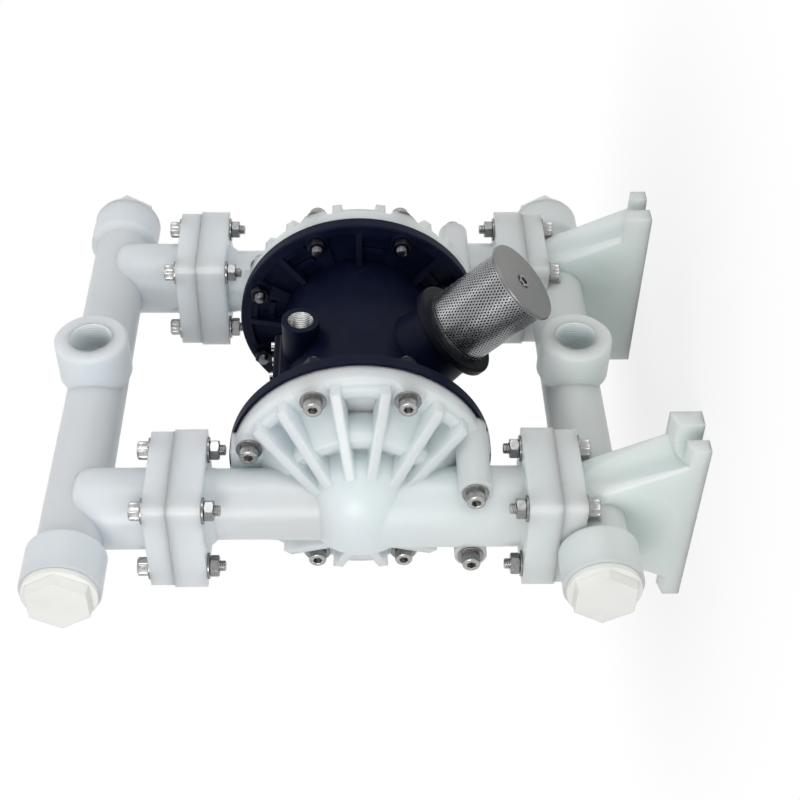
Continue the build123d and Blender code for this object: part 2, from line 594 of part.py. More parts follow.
with BuildPart() as chamber:
    # rim, ramp, dome with its ring and pocket, and domed hub
    with BuildSketch(ALONG):
        with BuildLine():
            Polyline(
                HUB_TOP, (HUB_TOP[0], 0), (CLAMP_X, 0), (CLAMP_X, CHAMBER_R),
                (CHAMBER_RIM_X - RIM_ROUND, CHAMBER_R),
            )
            RadiusArc(
                (CHAMBER_RIM_X - RIM_ROUND, CHAMBER_R), (CHAMBER_RIM_X, CHAMBER_R - RIM_ROUND), RIM_ROUND
            )
            Polyline(
                (CHAMBER_RIM_X, CHAMBER_R - RIM_ROUND), (CHAMBER_RIM_X, RAMP_R), (DOME_X, DOME_R),
                (DOME_X, DOME_R - DOME_EDGE), (POCKET_X, DOME_R - DOME_EDGE - 1),
                (POCKET_X, HUB_START[1] + 2), HUB_START,
            )
            ThreePointArc(HUB_START, HUB_MIDDLE, HUB_TOP)
        make_face()
    revolve(axis=SHAFT_AXIS)
    # pockets between the paired ribs
    for low, high in RIB_PAIRS:
        with BuildSketch(ACROSS.offset(POCKET_FLOOR_X)):
            Circle(WEB_R - WEB_THICK)
            Circle(POCKET_R, mode=Mode.SUBTRACT)
            with BuildLine():
                Polyline((0, 0), polar(2 * WEB_R, low), polar(2 * WEB_R, high), close=True)
            make_face(mode=Mode.INTERSECT)
        extrude(amount=DOME_X - POCKET_FLOOR_X, mode=Mode.SUBTRACT)
    # fan of ribs from the hub to the rim, in pairs tied by a web
    for angle in [angle for pair in RIB_PAIRS for angle in pair]:
        with BuildSketch(radial(angle)):
            with BuildLine():
                Polyline(
                    (CHAMBER_RIM_X - 10, 0), (CHAMBER_RIM_X - 10, RIB_END[1]), RIB_END, RIB_HUB,
                    (RIB_HUB[0], 0), close=True,
                )
            make_face()
        extrude(amount=RIB_THICK / 2, both=True)
    for low, high in RIB_PAIRS:
        with BuildSketch(ACROSS.offset(POCKET_FLOOR_X - 1)):
            Circle(WEB_R)
            Circle(WEB_R - WEB_THICK, mode=Mode.SUBTRACT)
            with BuildLine():
                Polyline((0, 0), polar(2 * WEB_R, low), polar(2 * WEB_R, high), close=True)
            make_face(mode=Mode.INTERSECT)
        extrude(amount=WEB_TOP_X - POCKET_FLOOR_X + 1)
    # screw pads that flare out into the rim, and tall ones beside the inlet riser
    add(screw_pads.part)
    for place in screw_places(CLAMP_X):
        if is_column(place):
            with Locations(place):
                Cylinder(COLUMN_R, COLUMN_X - CLAMP_X, align=UPWARDS)
    # risers with their ears, necks and flanges
    with BuildSketch(riser(INLET_FACE)):
        Circle(STUB_R)
    extrude(amount=RISER_STEP - INLET_FACE)
    riser_out = Plane(origin=(RISER_OUT_X, 0, SHAFT_Z), x_dir=(1, 0, 0), z_dir=(0, 0, 1))
    with BuildSketch(riser_out.offset(-RISER_STEP)):
        Circle(RISER_OUT_R)
    extrude(amount=OUTLET_FACE + RISER_STEP)
    with Locations((CLAMP_X, 0, SHAFT_Z)):
        Box(
            PAD_X - CLAMP_X, 2 * EAR_HALF, 2 * EAR_REACH,
            align=(Align.MIN, Align.CENTER, Align.CENTER),
        )
    with BuildSketch(riser_out.offset(OUTLET_FACE - NECK_LENGTH)):
        Circle(RISER_OUT_R)
    with BuildSketch(riser(OUTLET_FACE)):
        Circle(STUB_R)
    loft()
    with BuildSketch(riser(INLET_FACE)):
        Circle(STUB_R + NECK)
    with BuildSketch(riser(INLET_FACE + NECK)):
        Circle(STUB_R)
    loft()
    add(flange_joint(OUTLET_FACE, OUTLET_SEAM - OUTLET_FACE, CHAMBER_FLANGE))
    add(flange_joint(INLET_SEAM, INLET_FACE - INLET_SEAM, CHAMBER_FLANGE))

    # fluid space: diaphragm bead, dish, riser bores, valve seat and cage
    add(
        turned(
            [
                (CLAMP_X, 0), (CLAMP_X, BEAD_R), (CLAMP_X + BEAD_THICK, BEAD_R),
                (CLAMP_X + BEAD_THICK, BEAD_INNER_R), (DISH_X - 17, BEAD_INNER_R),
                (DISH_X - 12, DISH_R), (DISH_X - 4, DISH_R), (DISH_X, DISH_R - 6), (DISH_X, 0),
            ]
        ),
        mode=Mode.SUBTRACT,
    )
    for start, end in ((INLET_SEAM, -BORE_END), (BORE_END, OUTLET_SEAM)):
        with BuildSketch(riser(start)):
            Circle(PIPE_BORE_R)
        extrude(amount=end - start, mode=Mode.SUBTRACT)
    with BuildSketch(ACROSS.offset(DISH_X - 4)):
        with Locations((0, DISH_PORT), (0, -DISH_PORT)):
            Circle(PIPE_BORE_R - 2)
    extrude(amount=RISER_X - DISH_X + 4, mode=Mode.SUBTRACT)
    add(ball_cage(INLET_SEAM), mode=Mode.SUBTRACT)
    add(seat_pocket(OUTLET_SEAM), mode=Mode.SUBTRACT)
    with Locations(*screw_places(CLAMP_X)):
        Cylinder(M8_CLEAR_R, COLUMN_X - CLAMP_X, align=UPWARDS, mode=Mode.SUBTRACT)
save(chamber.part, "right_chamber")
save(half_turn(chamber.part, ""), "left_chamber")

# ---------------------------------------------------------------- manifolds


def pipe_line(height):
    """Plane along a manifold pipe: local x along X, local y up, at a height from the shaft."""
    return Plane(origin=(0, 0, SHAFT_Z + height), x_dir=(1, 0, 0), z_dir=(0, -1, 0))


def manifold_pipe(height):
    """A manifold's pipe along X, its threaded end collars, and the port in the middle."""
    line = pipe_line(height)
    with BuildPart() as made:
        add(
            turned(
                [
                    (0, 0), (0, PIPE_R), (COLLAR_START - COLLAR_STEP, PIPE_R),
                    (COLLAR_START, COLLAR_R), (COLLAR_END - 1, COLLAR_R),
                    (COLLAR_END, COLLAR_R - 1), (COLLAR_END, 0),
                ],
                Axis(line.origin, (1, 0, 0)), line,
            )
        )
        mirror(about=Plane.YZ)
        port_line = Plane(origin=line.origin, x_dir=(0, -1, 0), z_dir=(0, 0, 1))
        add(
            turned(
                [
                    (0, 0), (0, PIPE_R - 3), (PORT_REACH - PORT_DEPTH, PORT_R),
                    (PORT_REACH - 2, PORT_R), (PORT_REACH, PORT_R - 2), (PORT_REACH, 0),
                ],
                Axis(line.origin, (0, -1, 0)), port_line,
            )
        )
    return made.part


def manifold_bores(height):
    """The space inside a manifold: the pipe's bore, and the threads of its port and ends."""
    line = pipe_line(height)
    with BuildPart() as made:
        with BuildSketch(Plane(origin=line.origin, z_dir=(1, 0, 0))):
            Circle(PIPE_BORE_R)
        extrude(amount=COLLAR_END, both=True)
        with BuildSketch(line):
            Circle(PIPE_BORE_R - 1)
        extrude(amount=PORT_REACH)
        with BuildSketch(line.offset(PORT_REACH)):
            Circle(THREAD_1_R)
        extrude(amount=-THREAD_1_LENGTH)
        for sign in SIDES.values():
            with BuildSketch(Plane(origin=line.origin + (sign * COLLAR_END, 0, 0), z_dir=(sign, 0, 0))):
                Circle(THREAD_1_R)
            extrude(amount=-THREAD_1_LENGTH)
    return made.part


with BuildPart() as outlet_manifold:
    # branch that rounds over into the pipe, and its flange
    branch_line = Plane(origin=(RISER_X, 0, SHAFT_Z), x_dir=(0, 0, 1), z_dir=(0, 1, 0))
    with BuildSketch(branch_line):
        with BuildLine():
            Polyline(
                (OUTLET_PIPE - BRANCH_ROUND, STUB_R), (OUTLET_SEAM, STUB_R), (OUTLET_SEAM, 0),
                (OUTLET_PIPE, 0), (OUTLET_PIPE, PIPE_R - 4),
            )
            Spline(
                (OUTLET_PIPE, PIPE_R - 4), (OUTLET_PIPE - BRANCH_ROUND, STUB_R),
                tangents=((-0.1, 1), (-1, 0)),
            )
        make_face()
    revolve(axis=Axis((RISER_X, 0, SHAFT_Z), (0, 0, 1)))
    add(flange_joint(OUTLET_SEAM, MANIFOLD_FLANGE_THICK, MANIFOLD_FLANGE))
    add(ball_cage(OUTLET_SEAM), mode=Mode.SUBTRACT)
    with BuildSketch(riser(OUTLET_SEAM)):
        Circle(PIPE_BORE_R)
    extrude(amount=OUTLET_PIPE - OUTLET_SEAM, mode=Mode.SUBTRACT)
    mirror(about=Plane.YZ)
    add(manifold_pipe(OUTLET_PIPE))
    add(manifold_bores(OUTLET_PIPE), mode=Mode.SUBTRACT)
    # the cages open into the pipe
    for sign in SIDES.values():
        with Locations((sign * RISER_X, 0, SHAFT_Z + OUTLET_SEAM + CAGE_LENGTH - 1)):
            Cylinder(
                PIPE_BORE_R, OUTLET_PIPE - OUTLET_SEAM - CAGE_LENGTH + 1, align=UPWARDS,
                mode=Mode.SUBTRACT,
            )
save(outlet_manifold.part, "outlet_manifold")

FOOT_LINE = Plane(origin=(FOOT_MIDDLE, 0, SHAFT_Z), x_dir=(0, 1, 0), z_dir=(1, 0, 0))
with BuildPart() as leg:
    # wedge from the flange to the pad, with rounded edges
    pad_top = LEG_FOOT_Z - SHAFT_Z
    flange_face = INLET_SEAM - MANIFOLD_FLANGE_THICK
    with BuildSketch(FOOT_LINE):
        with BuildLine():
            Polyline(
                (-LEG_NECK, flange_face), (-LEG_TOP, INLET_PIPE), (-LEG_FOOT, pad_top),
                (LEG_FOOT, pad_top), (LEG_TOP, INLET_PIPE), (LEG_NECK, flange_face), close=True,
            )
        make_face()
    extrude(amount=(FOOT_OUTER - FOOT_INNER) / 2, both=True)
    fillet(leg.edges().filter_by(Plane.YZ).filter_by(lambda edge: abs(edge.center().Y) > LEG_NECK), LEG_EDGE)
    # channel down each slope, deeper at the foot
    for sign in (-1, 1):
        slope = Vector(0, sign * (LEG_FOOT - LEG_TOP), pad_top - INLET_PIPE).normalized()
        outwards = Vector(0, sign * -slope.Z, sign * slope.Y)
        top = Vector(FOOT_SLOT_X, sign * LEG_TOP, SHAFT_Z + INLET_PIPE)
        foot = Vector(FOOT_SLOT_X, sign * LEG_FOOT, LEG_FOOT_Z)
        start = top + outwards * (CHANNEL_R - CHANNEL_TOP)
        end = foot + outwards * (CHANNEL_R - CHANNEL_FOOT)
        run = (end - start).normalized()
        with BuildSketch(Plane(origin=start - run * LEG_TOP, z_dir=run)):
            Circle(CHANNEL_R)
        extrude(amount=(end - start).length + 2 * LEG_TOP, mode=Mode.SUBTRACT)
    # dished outer face
    with Locations((FOOT_OUTER + SCOOP_R - SCOOP_DEPTH, 0, SCOOP_Z)):
        Sphere(SCOOP_R, mode=Mode.SUBTRACT)
    # pad that slants outwards, with an open slot at each end
    pad_line = Plane(origin=(0, FOOT_BACK, 0), x_dir=(1, 0, 0), z_dir=(0, -1, 0))
    with BuildSketch(pad_line):
        with BuildLine():
            Polyline(
                (FOOT_INNER, 0), (FOOT_INNER, FOOT_THICK), (FOOT_OUTER, FOOT_THIN), (FOOT_OUTER, 0),
                close=True,
            )
        make_face()
    extrude(amount=FOOT_BACK - FOOT_FRONT)
    with BuildSketch(Plane.XY):
        for y in (FOOT_FRONT, FOOT_BACK):
            with Locations((FOOT_SLOT_X, y)):
                SlotCenterToCenter(2 * (FOOT_SLOT_DEPTH - FOOT_SLOT_R), 2 * FOOT_SLOT_R, rotation=90)
    extrude(amount=FOOT_THICK, mode=Mode.SUBTRACT)

with BuildPart() as inlet_manifold:
    add(flange_joint(flange_face, MANIFOLD_FLANGE_THICK, MANIFOLD_FLANGE))
    add(leg.part)
    # inlet side of the ball valve: the seat's pocket and the bore down to the pipe
    add(seat_pocket(INLET_SEAM), mode=Mode.SUBTRACT)
    with BuildSketch(riser(INLET_SEAM)):
        Circle(PIPE_BORE_R)
    extrude(amount=INLET_PIPE - INLET_SEAM, mode=Mode.SUBTRACT)
    mirror(about=Plane.YZ)
    add(manifold_pipe(INLET_PIPE))
    add(manifold_bores(INLET_PIPE), mode=Mode.SUBTRACT)
    for sign in SIDES.values():
        with Locations((sign * RISER_X, 0, SHAFT_Z + INLET_SEAM)):
            Cylinder(PIPE_BORE_R, INLET_SEAM - INLET_PIPE, align=DOWNWARDS, mode=Mode.SUBTRACT)
            Cylinder(SEAT_R, SEAT_RING + SEAT_THICK, align=DOWNWARDS, mode=Mode.SUBTRACT)
        # spot faces that clear the screw heads and washers from the pipe
        with Locations((sign * RISER_X, 0, SHAFT_Z + INLET_SEAM - MANIFOLD_FLANGE_THICK)):
            with GridLocations(FLANGE_BOLTS, FLANGE_BOLTS, 2, 2):
                Cylinder(WASHER_R + 0.3, WASHER_H + HEAD_H + 0.5, align=DOWNWARDS, mode=Mode.SUBTRACT)
save(inlet_manifold.part, "inlet_manifold")

# ---------------------------------------------------------------- end plugs

for port, height in (("outlet", OUTLET_PIPE), ("inlet", INLET_PIPE)):
    for side, sign in SIDES.items():
        face = Plane(
            origin=(sign * COLLAR_END, 0, SHAFT_Z + height), x_dir=(0, 1, 0), z_dir=(sign, 0, 0)
        )
        with BuildPart() as end_plug:
            with BuildSketch(face):
                Circle(THREAD_1_R)
            extrude(amount=-PLUG_DEPTH)
            with BuildSketch(face):
                Circle(PLUG_RIM_R)
            extrude(amount=PLUG_RIM_THICK)
            with BuildSketch(face.offset(PLUG_RIM_THICK)):
                RegularPolygon(PLUG_HEX_R, 6)
            extrude(amount=PLUG_HEX_THICK, taper=4)
        save(end_plug.part, f"{port}_plug_{side}")

# ---------------------------------------------------------------- ball valves

for port, seam in (("outlet", OUTLET_SEAM), ("inlet", INLET_SEAM)):
    for side, sign in SIDES.items():
        centre = (sign * RISER_X, 0, SHAFT_Z + seam - SEAT_RING)
        seat_line = Plane(origin=centre, x_dir=(0, 0, 1), z_dir=(0, 1, 0))
        riser_axis = Axis(centre, (0, 0, 1))
        seat = turned(
            [
                (0, SEAT_BORE_R + SEAT_CHAMFER), (0, SEAT_R), (-SEAT_THICK, SEAT_R),
                (-SEAT_THICK, SEAT_BORE_R), (-SEAT_CHAMFER, SEAT_BORE_R),
            ],
            riser_axis, seat_line,
        )
        save(seat, f"{port}_seat_{side}")
        seat_ring = turned(
            [
                (0, SEAT_R - 0.4), (SEAT_RING, SEAT_R - 0.4), (SEAT_RING, SEAT_R - 3),
                (0, SEAT_R - 3),
            ],
            riser_axis, seat_line,
        )
        save(seat_ring, f"{port}_seat_ring_{side}")
        with BuildPart() as ball:
            with Locations(riser_axis.position + (0, 0, BALL_HEIGHT)):
                Sphere(BALL_R)
        save(ball.part, f"{port}_ball_{side}")

# ---------------------------------------------------------------- M8 fasteners


def m8_screw(length):
    """Socket head screw: the head stands on its own origin, and the shank points down."""
    with BuildPart() as made:
        Cylinder(M8_R, length, align=DOWNWARDS)
        Cylinder(HEAD_R, HEAD_H, align=UPWARDS)
        with BuildSketch(Plane.XY.offset(HEAD_H)):
            RegularPolygon(SOCKET_R, 6)
        extrude(amount=-SOCKET_DEPTH, mode=Mode.SUBTRACT)
    return made.part


def hexagon_nut():
    """Nut that stands on its own origin."""
    with BuildPart() as made:
        with BuildSketch():
            RegularPolygon(NUT_R, 6)
            Circle(M8_R, mode=Mode.SUBTRACT)
        extrude(amount=NUT_H)
    return made.part


def pairs_across(height, up):
    """The eight places of one port's flange screws, at a height from the shaft."""
    half = FLANGE_BOLTS / 2
    return [
        Location(
            Plane(
                origin=(sign * RISER_X + dx, dy, SHAFT_Z + height), x_dir=(1, 0, 0), z_dir=(0, 0, up)
            )
        )
        for sign in SIDES.values() for dx in (-half, half) for dy in (-half, half)
    ]


washer = ring(Plane.XY, WASHER_R, M8_R, WASHER_H)
with BuildPart() as chamber_screws:
    for place in screw_places(0):
        seat_x = COLUMN_X if is_column(place) else PAD_X
        with Locations(Location((seat_x + WASHER_H, 0, 0)) * place):
            add(m8_screw(seat_x + WASHER_H - BOSS_X + NUT_H + THREAD_SHOWN))
    mirror(about=Plane.YZ)
save(chamber_screws.part, "chamber_screws")

with BuildPart() as chamber_washers:
    for place in screw_places(0):
        with Locations(Location((COLUMN_X if is_column(place) else PAD_X, 0, 0)) * place):
            add(washer)
    mirror(about=Plane.YZ)
save(chamber_washers.part, "chamber_washers")

with BuildPart() as chamber_nuts:
    with Locations(*screw_places(BOSS_X - NUT_H)):
        add(hexagon_nut())
    mirror(about=Plane.YZ)
save(chamber_nuts.part, "chamber_nuts")

JOINTS = (  # outer face of the manifold flange, inner face of the chamber flange, upwards or not
    (OUTLET_SEAM + MANIFOLD_FLANGE_THICK, OUTLET_FACE, 1),
    (INLET_SEAM - MANIFOLD_FLANGE_THICK, INLET_FACE, -1),
)
with BuildPart() as flange_screws:
    for outer, inner, up in JOINTS:
        with Locations(*pairs_across(outer + up * WASHER_H, up)):
            add(m8_screw(abs(outer - inner) + 2 * WASHER_H + NUT_H + THREAD_SHOWN))
save(flange_screws.part, "flange_screws")

with BuildPart() as flange_washers:
    for outer, inner, up in JOINTS:
        with Locations(*pairs_across(outer, up), *pairs_across(inner, -up)):
            add(washer)
save(flange_washers.part, "flange_washers")

with BuildPart() as flange_nuts:
    for outer, inner, up in JOINTS:
        with Locations(*pairs_across(inner - up * WASHER_H, -up)):
            add(hexagon_nut())
save(flange_nuts.part, "flange_nuts")
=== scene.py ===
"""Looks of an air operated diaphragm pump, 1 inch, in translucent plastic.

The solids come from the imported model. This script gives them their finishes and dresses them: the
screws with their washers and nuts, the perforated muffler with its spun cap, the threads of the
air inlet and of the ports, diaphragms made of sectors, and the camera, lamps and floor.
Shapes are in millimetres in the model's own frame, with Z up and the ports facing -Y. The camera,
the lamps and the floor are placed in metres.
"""

import json

import bmesh
import bpy
import numpy as np
from mathutils import Matrix, Vector


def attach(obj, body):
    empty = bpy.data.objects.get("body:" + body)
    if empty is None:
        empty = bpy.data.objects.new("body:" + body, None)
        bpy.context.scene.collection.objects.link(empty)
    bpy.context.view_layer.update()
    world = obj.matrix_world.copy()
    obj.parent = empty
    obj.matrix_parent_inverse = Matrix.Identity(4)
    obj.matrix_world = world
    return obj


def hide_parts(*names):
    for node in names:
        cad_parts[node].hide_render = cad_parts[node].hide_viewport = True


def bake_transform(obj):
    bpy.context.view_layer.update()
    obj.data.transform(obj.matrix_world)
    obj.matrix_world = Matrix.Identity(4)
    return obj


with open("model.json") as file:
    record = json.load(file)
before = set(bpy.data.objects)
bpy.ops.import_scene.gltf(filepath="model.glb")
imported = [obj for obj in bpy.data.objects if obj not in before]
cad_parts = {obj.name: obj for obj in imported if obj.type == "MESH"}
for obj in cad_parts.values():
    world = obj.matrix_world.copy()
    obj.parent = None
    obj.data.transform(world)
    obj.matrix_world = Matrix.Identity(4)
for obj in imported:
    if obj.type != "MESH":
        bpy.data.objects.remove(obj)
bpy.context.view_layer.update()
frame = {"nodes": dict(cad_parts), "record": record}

# ---------------------------------------------------------------- sizes, in millimetres

MM = 0.001
TURN = 2 * np.pi
SHARP_ANGLE = TURN * 35 / 360  # edges sharper than this stay sharp when a piece is shaded

SHAFT_Z = 232.0
RISER_X = 128.0
OUTLET_PIPE_Z, INLET_PIPE_Z = 430.5, 70.5
OUTLET_NUT_Z, OUTLET_HEAD_Z = 338.6, 377.7  # faces of the upper flange joints
INLET_NUT_Z, INLET_HEAD_Z = 119.4, 80.3  # faces of the lower flange joints
FLANGE_BOLTS = 57.0  # side of the square of a flange joint's four screws
FLANGE_SCREW_TURN = 0.2  # how far a flange screw is turned, as a slope for each mm off the middle
PORT_REACH = 47.0

SCREW_CIRCLE_R = 84.0
SCREW_ANGLES = np.radians(22.5 + 45 * np.arange(8))  # from the Y axis
PAD_X, TALL_PAD_X = 102.0, 145.5  # faces under the washers of the chamber screws
TALL_PAD_DROP = 70.0  # a screw further below the shaft than this stands on a tall pad
BOSS_X = 71.0  # faces under the nuts of the chamber screws

M8_R, M8_PITCH, M8_THREAD_DEPTH = 4.0, 1.25, 0.62
HEAD_R, HEAD_H, SOCKET_R, SOCKET_DEPTH = 6.5, 8.0, 3.4, 4.0
KNURL_TEETH, KNURL_DEPTH = 36, 0.44
NUT_R, NUT_H = 7.5, 6.5  # the nut's radius is to its corners
WASHER_R, WASHER_H = 9.2, 1.6
THREAD_SHOWN = 4.5  # thread that stands out of a nut
THREAD_ROWS = 4  # rows of points in one pitch of any thread

EXHAUST_ANGLE = np.radians(44.0)  # from straight down, towards the front
EXHAUST_ORIGIN = np.array([0.0, 7.8, 224.5])
EXHAUST_DIR = np.array([0.0, -np.sin(EXHAUST_ANGLE), -np.cos(EXHAUST_ANGLE)])
CAN_START, CAN_END, CAN_R, CAN_WALL = 89.9, 151.0, 28.6, 1.0
CAN_BAND = 1.6  # plain band at each end of the can
HOLE_R, HOLE_PITCH = 0.76, 2.4
CAP_R, CAP_TOP = 32.1, 154.0
CAP_DISH, CAP_BEAD_R, CAP_LIP_DROP = 1.1, 1.1, 2.0  # dish at the bolt, and the rolled lip
CAP_BOLT_R, CAP_BOLT_H = 5.4, 0.6

INLET_BUSH_FACE, INLET_BUSH_Z = -63.0, 275.5
INLET_BUSH_R, INLET_BUSH_LENGTH = 11.0, 22.0
INLET_MINOR_R, INLET_MAJOR_R, HALF_INCH_PITCH = 9.3, 10.2, 1.814
PORT_MINOR_R, PORT_MAJOR_R, ONE_INCH_PITCH = 14.35, 15.25, 2.309
PORT_THREAD_LENGTH = 24.0
THREAD_CHAMFER = 0.9

SHEET_X, SHEET_THICK, SHEET_HOLE_R = 84.4, 3.5, 6.2  # middle of a diaphragm's sheet
BEAD_R, BEAD_INNER_R, BEAD_THICK = 78.0, 66.0, 4.0
FOLD_R, FOLD_RISE = 46.0, 6.0
SECTORS = 12  # pieces of each diaphragm

# ---------------------------------------------------------------- mesh helpers


def grid_faces(rows, columns):
    """Quads between neighbouring points of a grid whose last column meets its first."""
    row, column = np.meshgrid(np.arange(rows - 1), np.arange(columns), indexing="ij")
    after = (column + 1) % columns
    corners = [row * columns + column, row * columns + after]
    corners += [(row + 1) * columns + after, (row + 1) * columns + column]
    return np.stack(corners, axis=-1).reshape(-1, 4)


def turned(profile, columns):
    """Surface turned round a local Z axis from a profile of radii and heights.

    Point = (r cos a, r sin a, z) for every row and every angle a of the grid. A row's radius is
    one number, or one number for each angle where the row isn't round.
    """
    angle = TURN * np.arange(columns) / columns
    radii = np.stack([np.broadcast_to(radius, columns) for radius, _ in profile])
    heights = np.repeat([[height] for _, height in profile], columns, axis=1)
    points = np.stack([radii * np.cos(angle), radii * np.sin(angle), heights], axis=-1)
    return points.reshape(-1, 3), grid_faces(len(radii), columns)


def hexagon(corner_r, columns):
    """Radius of a hexagon with its corners at corner_r, at each angle of the grid."""
    sixth = TURN / 6
    off_flat = (TURN * np.arange(columns) / columns) % sixth - sixth / 2
    return corner_r * np.cos(sixth / 2) / np.cos(off_flat)


def thread_wave(heights, pitch, columns):
    """Triangle wave from 0 to 1 of the height less one pitch per turn, at each height and angle."""
    turns = np.arange(columns) / columns
    return np.abs((heights[:, None] / pitch - turns) % 1 * 2 - 1)


def frame_at(origin, along, across):
    """4x4 matrix that puts local Z along a direction, and local X near another."""
    z = np.array(along, float) / np.linalg.norm(along)
    x = np.array(across, float) - z * np.dot(across, z)
    x /= np.linalg.norm(x)
    matrix = np.eye(4)
    matrix[:3, 0], matrix[:3, 1], matrix[:3, 2], matrix[:3, 3] = x, np.cross(z, x), z, origin
    return matrix


def repeated(shape, places):
    """One shape set at every place: a stack of 4x4 matrices moves all its points at once."""
    points, faces = shape
    places = np.array(places)
    moved = np.einsum("pij,vj->pvi", places[:, :3, :3], points) + places[:, None, :3, 3]
    shifted = faces[None] + len(points) * np.arange(len(places))[:, None, None]
    return moved.reshape(-1, 3), shifted.reshape(-1, faces.shape[1])


def joined(*shapes):
    """Several shapes as one."""
    start = np.cumsum([0] + [len(points) for points, _ in shapes[:-1]])
    points = np.concatenate([points for points, _ in shapes])
    return points, np.concatenate([faces + first for (_, faces), first in zip(shapes, start)])


def placed(made):
    """Puts a new object into the scene."""
    bpy.context.scene.collection.objects.link(made)
    return made


def piece(name, shape, slot, replaced=(), finish=None, body="pump"):
    """Makes an object of a shape, with its doubles merged and its normals outwards.

    It fills a material slot, stands in for the replaced nodes, and rides on a body, or on none.
    Its finish is the slot's own, unless another one is named.
    """
    points, faces = shape
    mesh = bpy.data.meshes.new(name)
    mesh.from_pydata((points * MM).tolist(), [], faces.tolist())
    work = bmesh.new()
    work.from_mesh(mesh)
    bmesh.ops.remove_doubles(work, verts=work.verts, dist=1e-6)
    bmesh.ops.recalc_face_normals(work, faces=work.faces)
    work.to_mesh(mesh)
    work.free()
    mesh.shade_smooth()
    mesh.set_sharp_from_angle(angle=SHARP_ANGLE)
    mesh.materials.append(FINISHES[finish or slot])
    made = placed(bpy.data.objects.new(name, mesh))
    if body:
        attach(made, body)
    if replaced:
        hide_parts(*replaced)
    return made


# ---------------------------------------------------------------- materials


def material(name):
    """A new node material, with its tree, its shader and a Texture Coordinate node."""
    made = bpy.data.materials.new(name)
    made.use_nodes = True
    tree = made.node_tree
    return made, tree, tree.nodes["Principled BSDF"], tree.nodes.new("ShaderNodeTexCoord")


def noise(tree, coordinates, scale, detail=3.0, roughness=0.5):
    """A noise from 0 to 1 on Object coordinates; scale is in waves per metre."""
    node = tree.nodes.new("ShaderNodeTexNoise")
    node.inputs["Scale"].default_value = scale
    node.inputs["Detail"].default_value = detail
    node.inputs["Roughness"].default_value = roughness
    tree.links.new(coordinates.outputs["Object"], node.inputs["Vector"])
    return node.outputs["Fac"]


def mixed(tree, factor, first, second, low=0.35, high=0.65):
    """A colour between two: the first where a factor is below low, the second above high."""
    ramp = tree.nodes.new("ShaderNodeValToRGB")
    ramp.color_ramp.elements[0].position = low
    ramp.color_ramp.elements[0].color = (*first, 1)
    ramp.color_ramp.elements[1].position = high
    ramp.color_ramp.elements[1].color = (*second, 1)
    tree.links.new(factor, ramp.inputs["Fac"])
    return ramp.outputs["Color"]


def span(tree, factor, low, high):
    """A number between low and high, led by a factor from 0 to 1."""
    node = tree.nodes.new("ShaderNodeMapRange")
    node.inputs["To Min"].default_value = low
    node.inputs["To Max"].default_value = high
    tree.links.new(factor, node.inputs["Value"])
    return node.outputs["Result"]


def bump(tree, height, strength, distance, under=None):
    """Normals of a relief up to a distance in metres, on top of the normals under it."""
    node = tree.nodes.new("ShaderNodeBump")
    node.inputs["Strength"].default_value = strength
    node.inputs["Distance"].default_value = distance
    tree.links.new(height, node.inputs["Height"])
    if under:
        tree.links.new(under, node.inputs["Normal"])
    return node.outputs["Normal"]


def arithmetic(tree, operation, first, second):
    """The sum, product or greater of two numbers."""
    node = tree.nodes.new("ShaderNodeMath")
    node.operation = operation
    tree.links.new(first, node.inputs[0])
    tree.links.new(second, node.inputs[1])
    return node.outputs["Value"]


def soft_edges(tree, radius):
    """Normals that round every edge over a radius in metres, as on a moulding."""
    node = tree.nodes.new("ShaderNodeBevel")
    node.samples = 6
    node.inputs["Radius"].default_value = radius
    return node.outputs["Normal"]


def recesses(tree, reach, shade_grey, colour):
    """Painted shade: a colour that darkens towards a grey in recesses narrower than a reach in metres.
    """
    hidden = tree.nodes.new("ShaderNodeAmbientOcclusion")
    hidden.samples, hidden.only_local = 8, True
    hidden.inputs["Distance"].default_value = reach
    shade_ramp = mixed(tree, hidden.outputs["AO"], (shade_grey,) * 3, (1, 1, 1), 0.3, 0.85)
    both = tree.nodes.new("ShaderNodeMix")
    both.data_type, both.blend_type = "RGBA", "MULTIPLY"
    both.inputs["Factor"].default_value = 1.0
    tree.links.new(colour, both.inputs["A"])
    tree.links.new(shade_ramp, both.inputs["B"])
    return both.outputs["Result"]


def milky_plastic():
    """Natural translucent moulding: pale and waxy, with clouds, faintly green low, and a bluish tint
    high up that is painted cool light from above.

    The colour goes with the height in metres plus the clouds, between two heights of the pump.
    """
    made, tree, shader, at = material("milky_plastic")
    # painted light: the bluish tint towards the top stands for cool light falling from above
    green, cool_light_blue, green_z, cool_light_z = (0.76, 0.83, 0.81), (0.77, 0.84, 0.90), 0.05, 0.42
    place = tree.nodes.new("ShaderNodeSeparateXYZ")
    tree.links.new(at.outputs["Object"], place.inputs["Vector"])
    clouds = span(tree, noise(tree, at, 9.0, detail=2.0), -0.12, 0.12)
    height = arithmetic(tree, "ADD", place.outputs["Z"], clouds)
    colour = mixed(tree, height, green, cool_light_blue, green_z, cool_light_z)
    tree.links.new(colour, shader.inputs["Base Color"])
    dull_spots = noise(tree, at, 90.0)
    tree.links.new(span(tree, dull_spots, 0.27, 0.4), shader.inputs["Roughness"])
    ripples = noise(tree, at, 40.0, detail=0.0)
    edges = soft_edges(tree, 2.6 * MM)
    tree.links.new(bump(tree, ripples, 0.1, 1.5 * MM, edges), shader.inputs["Normal"])
    shader.inputs["Subsurface Weight"].default_value = 1.0
    shader.inputs["Subsurface Radius"].default_value = (1.0, 1.05, 1.05)
    shader.inputs["Subsurface Scale"].default_value = 0.02
    shader.inputs["IOR"].default_value = 1.49
    return made


